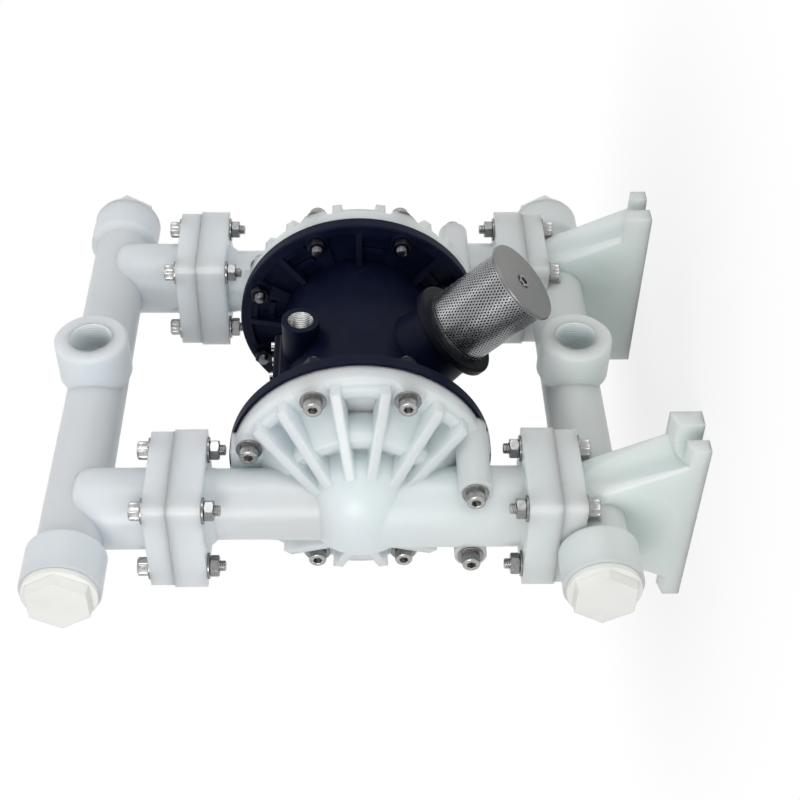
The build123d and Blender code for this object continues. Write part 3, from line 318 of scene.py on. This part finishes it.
def thread_plastic():
    """The same moulding where its threads are cut: pale, dense and dull."""
    made, tree, shader, at = material("thread_plastic")
    clouds = noise(tree, at, 60.0)
    colour = mixed(tree, clouds, (0.80, 0.87, 0.88), (0.84, 0.90, 0.91))
    tree.links.new(colour, shader.inputs["Base Color"])
    shader.inputs["Roughness"].default_value = 0.5
    return made


def cream_plastic():
    """Opaque warm white moulding of the end plugs."""
    made, tree, shader, at = material("cream_plastic")
    clouds = noise(tree, at, 40.0)
    colour = mixed(tree, clouds, (0.86, 0.86, 0.82), (0.90, 0.90, 0.87))
    tree.links.new(colour, shader.inputs["Base Color"])
    tree.links.new(soft_edges(tree, 1.2 * MM), shader.inputs["Normal"])
    shader.inputs["Roughness"].default_value = 0.45
    shader.inputs["Subsurface Weight"].default_value = 0.25
    shader.inputs["Subsurface Radius"].default_value = (1.0, 0.9, 0.7)
    shader.inputs["Subsurface Scale"].default_value = 0.003
    return made


def dark_plastic(name, deep, dusty):
    """Glass filled dark moulding: fine grain, a satin shine, and a little dust on its deep colour."""
    made, tree, shader, at = material(name)
    dust = noise(tree, at, 60.0, detail=6.0, roughness=0.65)
    colour = mixed(tree, dust, deep, dusty, 0.45, 0.8)
    tree.links.new(colour, shader.inputs["Base Color"])
    tree.links.new(span(tree, dust, 0.36, 0.56), shader.inputs["Roughness"])
    grain = noise(tree, at, 1600.0, detail=2.0)
    edges = soft_edges(tree, 1.0 * MM)
    tree.links.new(bump(tree, grain, 0.2, 0.15 * MM, edges), shader.inputs["Normal"])
    shader.inputs["Specular IOR Level"].default_value = 0.09
    return made


def metal(name, colour, smooth, rough, waves=400.0, edge=0.3, recess=2.5):
    """Bare metal, patchy between a smooth and a rough polish, with painted shade darkening its
    recesses.

    Waves per metre set the size of its patches, and edge and recess are in millimetres.
    """
    made, tree, shader, at = material(name)
    shade_grey = 0.12
    patches = noise(tree, at, waves, detail=4.0)
    darker = tuple(0.8 * c for c in colour)
    clean = mixed(tree, patches, darker, colour)
    # painted shade: the colour darkens towards a grey in recesses
    tree.links.new(recesses(tree, recess * MM, shade_grey, clean), shader.inputs["Base Color"])
    tree.links.new(span(tree, patches, smooth, rough), shader.inputs["Roughness"])
    tree.links.new(soft_edges(tree, edge * MM), shader.inputs["Normal"])
    shader.inputs["Metallic"].default_value = 1.0
    return made


def rubber(name, colour):
    """Dull moulded rubber."""
    made, tree, shader, at = material(name)
    grain = noise(tree, at, 700.0)
    lighter = tuple(1.6 * c for c in colour)
    tree.links.new(mixed(tree, grain, colour, lighter), shader.inputs["Base Color"])
    tree.links.new(bump(tree, grain, 0.3, 0.1 * MM), shader.inputs["Normal"])
    shader.inputs["Roughness"].default_value = 0.7
    return made


def felt():
    """Matted fibre inside the muffler."""
    made, tree, shader, at = material("felt")
    fibres = noise(tree, at, 1500.0, detail=5.0)
    colour = mixed(tree, fibres, (0.004, 0.004, 0.005), (0.02, 0.02, 0.022))
    tree.links.new(colour, shader.inputs["Base Color"])
    tree.links.new(bump(tree, fibres, 0.6, 0.3 * MM), shader.inputs["Normal"])
    shader.inputs["Roughness"].default_value = 0.95
    return made


FINISHES = {
    "milky_plastic": milky_plastic(),
    "thread_plastic": thread_plastic(),
    "cream_plastic": cream_plastic(),
    "navy_plastic": dark_plastic("navy_plastic", (0.003, 0.005, 0.019), (0.007, 0.011, 0.030)),
    "black_plastic": dark_plastic("black_plastic", (0.003, 0.004, 0.008), (0.009, 0.010, 0.014)),
    "steel": metal("steel", (0.46, 0.46, 0.45), 0.14, 0.3),
    "nut_steel": metal("nut_steel", (0.29, 0.29, 0.29), 0.16, 0.32),
    # painted shade: a darker copy of steel, so that the chamber screws' ends in their bosses look
    # shaded
    "shade_dim_steel": metal("shade_dim_steel", (0.16, 0.165, 0.18), 0.22, 0.4),
    # painted shade: near-black steel for the chamber nuts that sit deep in their bosses
    "shade_black_steel": metal("shade_black_steel", (0.022, 0.024, 0.034), 0.32, 0.5),
    "thread_steel": metal("thread_steel", (0.72, 0.72, 0.72), 0.12, 0.3, edge=0.1, recess=1.2),
    "cap_steel": metal("cap_steel", (0.235, 0.235, 0.23), 0.3, 0.42, waves=900.0),
    "perforated_steel": metal("perforated_steel", (0.42, 0.43, 0.44), 0.2, 0.34, edge=0.1, recess=1.5),
    "felt": felt(),
    "brass": metal("brass", (0.72, 0.55, 0.26), 0.25, 0.4),
    "spool_aluminium": metal("spool_aluminium", (0.66, 0.67, 0.70), 0.3, 0.45),
    "plate_aluminium": metal("plate_aluminium", (0.64, 0.65, 0.67), 0.4, 0.6),
    "diaphragm_rubber": rubber("diaphragm_rubber", (0.02, 0.02, 0.021)),
    "ball_rubber": rubber("ball_rubber", (0.03, 0.03, 0.032)),
    "seal_rubber": rubber("seal_rubber", (0.012, 0.012, 0.012)),
}

SLOTS = {row["node"]: row["material_slot"] for row in frame["record"]["subparts"]}
for node_name, node in frame["nodes"].items():
    node.data.materials.clear()
    node.data.materials.append(FINISHES[SLOTS[node_name]])

# ---------------------------------------------------------------- screws, washers and nuts


def screw_head(columns=72):
    """Head of a socket screw, seated on its own origin, with a knurled side and a hexagon socket.

    The side's radius dips between the teeth, as one less the cosine of the angle times their
    number.
    """
    angle = TURN * np.arange(columns) / columns
    side = HEAD_R - KNURL_DEPTH / 2 * (1 - np.cos(KNURL_TEETH * angle))
    socket, socket_floor = hexagon(SOCKET_R, columns), HEAD_H - SOCKET_DEPTH
    bevel, crown, foot = 0.3, 1.2, 0.7  # the knurl runs between the crown and the foot
    profile = [
        (0, socket_floor), (socket, socket_floor), (socket, HEAD_H - bevel), (socket + 0.35, HEAD_H),
        (HEAD_R - 1.1, HEAD_H), (HEAD_R - 0.5, HEAD_H - bevel), (HEAD_R - 0.12, HEAD_H - 0.9),
        (side, HEAD_H - crown), (side, foot), (HEAD_R - 0.15, 0.4), (HEAD_R - bevel, 0), (0, 0),
    ]
    return turned(profile, columns)


def screw_shank(length, columns=48):
    """Shank below the head, with a thread at its end that starts in the nut and reaches past it."""
    top = THREAD_SHOWN + NUT_H - length
    tip, gap = 0.3, 0.2  # the tip's bevel, and the plain step before the thread
    heights = np.arange(top - gap, 2 * tip - length, -M8_PITCH / THREAD_ROWS)
    radii = M8_R - M8_THREAD_DEPTH * thread_wave(heights, M8_PITCH, columns)
    end = [(M8_R - 0.7, tip - length), (M8_R - 1.2, -length), (0, -length)]
    return turned([(0, 0), (M8_R, 0), (M8_R, top), *zip(radii, heights), *end], columns)


def washer(columns=60):
    """Flat washer standing on its own origin, with broken edges."""
    bore, broken = M8_R + 0.05, 0.25
    profile = [
        (bore, 0), (WASHER_R - broken, 0), (WASHER_R, broken), (WASHER_R, WASHER_H - broken),
        (WASHER_R - broken, WASHER_H), (bore, WASHER_H), (bore, 0),
    ]
    return turned(profile, columns)


def nut(columns=72):
    """Nut standing on its own origin: its sides are the lesser of a hexagon and a cone at each end."""
    rise = np.array([0.0, 0.25, 0.6, 1.0])
    heights = np.concatenate([rise, NUT_H - rise[::-1]])
    end_r, slope = NUT_R - 1.05, 1.7
    cone = end_r + slope * np.minimum(heights, NUT_H - heights)[:, None]
    sides = np.minimum(hexagon(NUT_R, columns), cone)
    bore, mouth, chamfer = M8_R + 0.02, M8_R + 0.5, 0.5
    inside = [(mouth, NUT_H), (bore, NUT_H - chamfer), (bore, chamfer)]
    return turned([(bore, chamfer), (mouth, 0), *zip(sides, heights), *inside], columns)


def chamber_places(pad_x, tall_pad_x, inward=False):
    """Places round both chambers' screw circles, at two distances from the middle plane."""
    places = []
    for side in (-1, 1):
        for angle in SCREW_ANGLES:
            across = SCREW_CIRCLE_R * np.array([0, np.cos(angle), np.sin(angle)])
            x = tall_pad_x if across[2] < -TALL_PAD_DROP else pad_x
            origin = (side * x, across[1], SHAFT_Z + across[2])
            places.append(frame_at(origin, (-side if inward else side, 0, 0), across))
    return places


def flange_places(height, up):
    """Places of one manifold's eight flange screws, at a height, facing up or down."""
    half = FLANGE_BOLTS / 2
    return [
        frame_at((side * RISER_X + dx, dy, height), (0, 0, up), (1, FLANGE_SCREW_TURN * dy, 0))
        for side in (-1, 1) for dx in (-half, half) for dy in (-half, half)
    ]


def chamber_fasteners():
    """Screws, washers and nuts round both chambers: the tall pads take longer screws."""
    pads = chamber_places(PAD_X + WASHER_H, TALL_PAD_X + WASHER_H)
    piece("chamber_screw_heads", repeated(screw_head(), pads), "steel", ["chamber_screws"])
    past_boss = WASHER_H - BOSS_X + NUT_H + THREAD_SHOWN
    short = [place for place in pads if abs(place[0, 3]) < TALL_PAD_X]
    tall = [place for place in pads if abs(place[0, 3]) > TALL_PAD_X]
    shanks = joined(
        repeated(screw_shank(PAD_X + past_boss), short),
        repeated(screw_shank(TALL_PAD_X + past_boss), tall),
    )
    # the shanks take the darker steel as painted shade on the screw ends
    piece("chamber_screw_shanks", shanks, "steel", ["chamber_screws"], "shade_dim_steel")
    washers = repeated(washer(), chamber_places(PAD_X, TALL_PAD_X))
    piece("chamber_washers_flat", washers, "steel", ["chamber_washers"], "nut_steel")
    nuts = repeated(nut(), chamber_places(BOSS_X, BOSS_X, inward=True))
    # the chamber nuts take the near-black steel as painted shade
    piece("chamber_nuts_hexagon", nuts, "steel", ["chamber_nuts"], "shade_black_steel")


def flange_fasteners():
    """Screws, washers and nuts of the flange joints, with the heads on the manifolds' side."""
    length = OUTLET_HEAD_Z - OUTLET_NUT_Z + 2 * WASHER_H + NUT_H + THREAD_SHOWN
    screws, washers, nuts = [], [], []
    for head_z, nut_z, up in ((OUTLET_HEAD_Z, OUTLET_NUT_Z, 1), (INLET_HEAD_Z, INLET_NUT_Z, -1)):
        places = flange_places(head_z + up * WASHER_H, up)
        screws += [repeated(screw_head(), places), repeated(screw_shank(length), places)]
        washers.append(repeated(washer(), flange_places(head_z, up)))
        washers.append(repeated(washer(), flange_places(nut_z, -up)))
        nuts.append(repeated(nut(), flange_places(nut_z - up * WASHER_H, -up)))
    piece("flange_screws_threaded", joined(*screws), "steel", ["flange_screws"])
    piece("flange_washers_flat", joined(*washers), "steel", ["flange_washers"], "nut_steel")
    piece("flange_nuts_hexagon", joined(*nuts), "steel", ["flange_nuts"], "nut_steel")


chamber_fasteners()
flange_fasteners()

# ---------------------------------------------------------------- muffler


def perforated_can(corners=12):
    """Perforated tube: a wall of tiles, each a rectangle with a round hole, in staggered rows.

    A tile's outer ring lies on its rectangle and its inner ring on the hole. Both are bent round
    the axis, with x as the arc and y along it, on the outside and the inside of the wall.
    """
    length = CAN_END - CAN_START - 2 * CAN_BAND
    columns = int(TURN * CAN_R / HOLE_PITCH)
    rows = int(length / (HOLE_PITCH * np.cos(TURN / 12)))
    wide, high = TURN * CAN_R / columns, length / rows
    angle = TURN * np.arange(corners) / corners
    ring = np.stack([np.cos(angle), np.sin(angle)], -1)
    rectangle = ring / np.abs(ring).max(axis=1, keepdims=True) * (wide / 2, high / 2)
    hole = HOLE_R * ring
    row, column = np.meshgrid(np.arange(rows), np.arange(columns), indexing="ij")
    centre_x = (column + 0.5 * (row % 2)) * wide
    centre_y = CAN_START + CAN_BAND + (row + 0.5) * high
    inside_r = CAN_R - CAN_WALL
    rings = [(rectangle, CAN_R), (hole, CAN_R), (hole, inside_r), (rectangle, inside_r)]
    points = []
    for shape, radius in rings:
        bend = (centre_x[..., None] + shape[:, 0]) / CAN_R
        along = centre_y[..., None] + shape[:, 1]
        points.append(np.stack([radius * np.cos(bend), radius * np.sin(bend), along], -1))
    points = np.stack(points, axis=2).reshape(-1, 3)
    tile = grid_faces(len(rings), corners)
    first = len(rings) * corners * np.arange(rows * columns)
    tiles = points, (tile[None] + first[:, None, None]).reshape(-1, 4)
    bands = []
    for start, stop in ((CAN_START, CAN_START + CAN_BAND), (CAN_END - CAN_BAND, CAN_END)):
        wall = [(CAN_R, start), (CAN_R, stop), (inside_r, stop), (inside_r, start), (CAN_R, start)]
        bands.append(turned(wall, 2 * columns))
    return joined(tiles, *bands)


def spun_cap(columns=180):
    """End cap turned from sheet: a face dished at the bolt, a round edge and a lip rolled outwards.

    The edge is a quarter of an ellipse, and the lip is half a circle of the bead's radius.
    """
    quarter, half = np.linspace(0, TURN / 4, 7), np.linspace(0, TURN / 2, 9)
    dish_z, dish_r = CAP_TOP - CAP_DISH, CAP_BOLT_R + 0.3
    face = [
        (0, dish_z), (dish_r, dish_z), (dish_r + 0.7, CAP_TOP - 0.45),
        (CAP_R - 4.5, CAP_TOP - 0.15), (CAP_R - 2.8, CAP_TOP),
    ]
    edge_r, edge_z, edge_wide, edge_high = CAP_R - 1.5, CAP_TOP - 1.0, 0.9, 1.0
    edge = zip(edge_r + edge_wide * np.sin(quarter), edge_z + edge_high * np.cos(quarter))
    lip_r, lip_z = CAP_R - CAP_BEAD_R - 0.15, CAP_TOP - CAP_LIP_DROP
    lip = zip(lip_r + CAP_BEAD_R * np.cos(half), lip_z - CAP_BEAD_R * np.sin(half))
    skirt_r = CAN_R + 0.05
    skirt = [(skirt_r, lip_z + 0.2), (skirt_r, CAN_END), (0, CAN_END)]
    return turned([*face, *edge, *lip, *skirt], columns)


def cap_bolt(columns=72):
    """Tie bolt's head in the cap's dish: a low hexagon with broken corners and a hexagon socket."""
    sides, socket = hexagon(CAP_BOLT_R, columns), hexagon(SOCKET_R, columns)
    top, socket_floor, seat = CAP_TOP + CAP_BOLT_H, CAP_TOP - 0.9, CAP_TOP - 1.05
    profile = [
        (0, socket_floor), (socket, socket_floor), (socket, top - 0.15), (socket + 0.25, top),
        (np.minimum(sides, CAP_BOLT_R - 1.0), top), (np.minimum(sides, CAP_BOLT_R - 0.5), top - 0.25),
        (sides, top - 0.6), (sides, seat), (0, seat),
    ]
    return turned(profile, columns)


def muffler():
    """The perforated can, its spun end cap and the head of the bolt that ties it down."""
    place = [frame_at(EXHAUST_ORIGIN, EXHAUST_DIR, (1, 0, 0))]
    can, cap, bolt = (repeated(shape, place) for shape in (perforated_can(), spun_cap(), cap_bolt()))
    piece("muffler_can_perforated", can, "perforated_steel", ["muffler_can"])
    piece("muffler_cap_spun", cap, "cap_steel", ["muffler_cap"])
    piece("muffler_bolt_head", bolt, "steel", ["muffler_tie_bolt"], "nut_steel")


muffler()

# ---------------------------------------------------------------- pipe threads


def inner_thread(minor_r, major_r, pitch, length, columns=96):
    """Inside thread that runs down from its own origin, behind a chamfer.

    Its radius swings between the minor and the major one with the thread wave.
    """
    heights = np.arange(-THREAD_CHAMFER, -length, -pitch / THREAD_ROWS)
    radii = minor_r + (major_r - minor_r) * thread_wave(heights, pitch, columns)
    return turned([(major_r, 0), *zip(radii, heights), (minor_r, -length)], columns)


def air_inlet(columns=96):
    """The air inlet's metal bush, threaded and closed behind, and the lip of the boss round it."""
    place = [frame_at((0, INLET_BUSH_FACE, INLET_BUSH_Z), (0, -1, 0), (1, 0, 0))]
    thread = inner_thread(INLET_MINOR_R, INLET_MAJOR_R, HALF_INCH_PITCH, INLET_BUSH_LENGTH, columns)
    floor_z = 0.3 - INLET_BUSH_LENGTH
    bottom = turned([(0, floor_z), (INLET_MINOR_R, floor_z)], columns)
    bush = repeated(joined(thread, bottom), place)
    piece("air_inlet_thread", bush, "steel", ["air_inlet_bush"], "thread_steel")
    outer, mouth, bore = INLET_BUSH_R + 0.02, INLET_MINOR_R + 0.1, INLET_MINOR_R + 1.0
    profile = [
        (mouth + 0.2, 0), (outer, 0), (outer, -INLET_BUSH_LENGTH), (bore, -INLET_BUSH_LENGTH),
        (bore, -1.2), (mouth, -0.3), (mouth + 0.2, 0),
    ]
    piece("air_inlet_lip", repeated(turned(profile, columns), place), "navy_plastic")


def port_threads():
    """Threads of the two fluid ports: low ridges that wind round the straight wall."""
    heights = (OUTLET_PIPE_Z, INLET_PIPE_Z)
    places = [frame_at((0, -PORT_REACH, z), (0, -1, 0), (1, 0, 0)) for z in heights]
    thread = inner_thread(PORT_MINOR_R, PORT_MAJOR_R, ONE_INCH_PITCH, PORT_THREAD_LENGTH)
    piece("fluid_port_threads", repeated(thread, places), "milky_plastic", finish="thread_plastic")


air_inlet()
port_threads()

# ---------------------------------------------------------------- diaphragms


def diaphragm_sector(side, number, rows=28, steps=6):
    """One sector of a diaphragm: a sheet with one fold, from its hole out to its clamped bead.

    At each radius, a loop runs over the outer face and back over the inner face. Both faces rise
    by the same arch, a half sine between the fold's two radii, and the bead is thicker.
    """
    radius = np.linspace(SHEET_HOLE_R, BEAD_R, rows)[:, None]
    folded = np.clip((radius - FOLD_R) / (BEAD_INNER_R - FOLD_R), 0, 1)
    arch = FOLD_RISE * np.sin(TURN / 2 * folded)
    thick = np.where(radius > BEAD_INNER_R, BEAD_THICK, SHEET_THICK)
    angle = TURN * (number + np.linspace(-0.5, 0.5, steps + 1)) / SECTORS
    loop = np.concatenate([angle, angle[::-1]])
    face = np.repeat([1, -1], steps + 1)
    x = side * (SHEET_X + arch + thick / 2 * face)
    points = np.stack([x, radius * np.cos(loop), SHAFT_Z + radius * np.sin(loop)], -1)
    there = np.arange(steps)
    back = len(loop) - 1 - there
    end = np.stack([there, there + 1, back - 1, back], -1)
    last = (rows - 1) * len(loop)
    faces = np.concatenate([grid_faces(rows, len(loop)), end, end + last])
    return points.reshape(-1, 3), faces


def diaphragms():
    """Both rubber diaphragms, each made of sectors that ride on no body."""
    for side, node in ((-1, "diaphragm_left"), (1, "diaphragm_right")):
        for number in range(SECTORS):
            name = f"{node}_sector_{number + 1:02d}"
            made = piece(name, diaphragm_sector(side, number), "diaphragm_rubber", [node], body=None)
            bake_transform(made)


diaphragms()

# ---------------------------------------------------------------- camera, light and floor


def camera():
    """A camera to the front left, turned on its side, so that the pump seems to lie on its back."""
    yaw, pitch, roll = np.radians(2.52), np.radians(43.48), np.radians(1.47)
    forward = np.array([np.sin(yaw) * np.cos(pitch), np.cos(yaw) * np.cos(pitch), -np.sin(pitch)])
    level = np.array([np.cos(yaw), -np.sin(yaw), 0.0])
    upright = np.cross(level, forward)
    right = level * np.cos(roll) + upright * np.sin(roll)
    up = upright * np.cos(roll) - level * np.sin(roll)
    lying = np.array([[0, 1, 0], [0, 0, -1], [-1, 0, 0]])  # lying frame to the model's frame
    axes = np.stack([lying @ right, lying @ up, -(lying @ forward)], axis=1)
    matrix = np.eye(4)
    matrix[:3, :3], matrix[:3, 3] = axes, (-0.798, -0.739, 0.236)
    data = bpy.data.cameras.new("camera")
    data.lens, data.sensor_width = 63.9, 36.0
    data.clip_start, data.clip_end = 0.05, 50.0
    made = placed(bpy.data.objects.new("camera", data))
    made.matrix_world = Matrix(matrix.tolist())
    bpy.context.scene.camera = made


def softbox(name, place, aim, size, power):
    """A square lamp of a size in metres and a power in watts, at a place and aimed at a point."""
    data = bpy.data.lights.new(name, "AREA")
    data.shape, data.size, data.energy = "SQUARE", size, power
    made = placed(bpy.data.objects.new(name, data))
    made.location = place
    made.rotation_mode = "QUATERNION"
    made.rotation_quaternion = (Vector(aim) - Vector(place)).to_track_quat("-Z", "Y")


def white_seen(tree):
    """1 for camera, glossy and transmission rays, which see the background as plain white."""
    path = tree.nodes.new("ShaderNodeLightPath")
    total = path.outputs["Is Camera Ray"]
    for kind in ("Is Glossy Ray", "Is Transmission Ray"):
        total = arithmetic(tree, "MAXIMUM", total, path.outputs[kind])
    return total


def mixed_surface(tree, factor, first, second, output):
    """Sends a mix of two shaders to the output: the first at a factor of 0, the second at 1."""
    mix = tree.nodes.new("ShaderNodeMixShader")
    tree.links.new(factor, mix.inputs["Fac"])
    tree.links.new(first, mix.inputs[1])
    tree.links.new(second, mix.inputs[2])
    tree.links.new(mix.outputs["Shader"], tree.nodes[output].inputs["Surface"])


def backdrop(strength=0.43):
    """World that lights the object at one level and shows plain white behind it."""
    world = bpy.data.worlds.new("backdrop")
    bpy.context.scene.world = world
    world.use_nodes = True
    tree = world.node_tree
    light = tree.nodes["Background"]
    light.inputs["Color"].default_value = (1, 1, 1, 1)
    light.inputs["Strength"].default_value = strength
    white = tree.nodes.new("ShaderNodeBackground")
    white.inputs["Color"].default_value = (1, 1, 1, 1)
    plain, seen = light.outputs["Background"], white.outputs["Background"]
    mixed_surface(tree, white_seen(tree), plain, seen, "World Output")


def floor(half=4.0, gap=0.0004, fade=(0.05, 0.4), least_white=0.76):
    """Pale floor a gap below the feet: it takes the shadow near the pump and fades to plain white.

    For the rays that see a white world, the share of plain white grows with the distance from the
    pump's middle: the least share up to the first distance, all of it from the second one on, and
    a smooth step between them.
    """
    mesh = bpy.data.meshes.new("floor")
    corners = [(x * half, y * half, -gap) for x, y in ((-1, -1), (1, -1), (1, 1), (-1, 1))]
    mesh.from_pydata(corners, [], [(0, 1, 2, 3)])
    made = placed(bpy.data.objects.new("floor", mesh))
    paint, tree, shader, at = material("floor_paint")
    shader.inputs["Base Color"].default_value = (0.93, 0.93, 0.93, 1)
    shader.inputs["Roughness"].default_value = 0.9
    shader.inputs["Specular IOR Level"].default_value = 0.0
    away = tree.nodes.new("ShaderNodeVectorMath")
    away.operation = "LENGTH"
    tree.links.new(at.outputs["Object"], away.inputs[0])
    ramp = tree.nodes.new("ShaderNodeMapRange")
    ramp.interpolation_type = "SMOOTHSTEP"
    ramp.inputs["From Min"].default_value, ramp.inputs["From Max"].default_value = fade
    ramp.inputs["To Min"].default_value = least_white
    tree.links.new(away.outputs["Value"], ramp.inputs["Value"])
    share = arithmetic(tree, "MULTIPLY", ramp.outputs["Result"], white_seen(tree))
    white = tree.nodes.new("ShaderNodeEmission")
    painted, plain_white = shader.outputs["BSDF"], white.outputs["Emission"]
    mixed_surface(tree, share, painted, plain_white, "Material Output")
    mesh.materials.append(paint)


def studio():
    """Camera, softboxes, world and floor."""
    camera()
    centre = (0, 0, 0.22)
    softbox("side_softbox", (-1.55, -0.45, 0.55), centre, size=0.7, power=9.0)
    softbox("front_softbox", (0.1, -1.6, 0.3), centre, size=0.6, power=4.8)
    softbox("top_softbox", (0.2, -0.3, 1.9), centre, size=1.0, power=4.0)
    backdrop()
    floor()
    bpy.context.scene.view_settings.view_transform = "Standard"


studio()
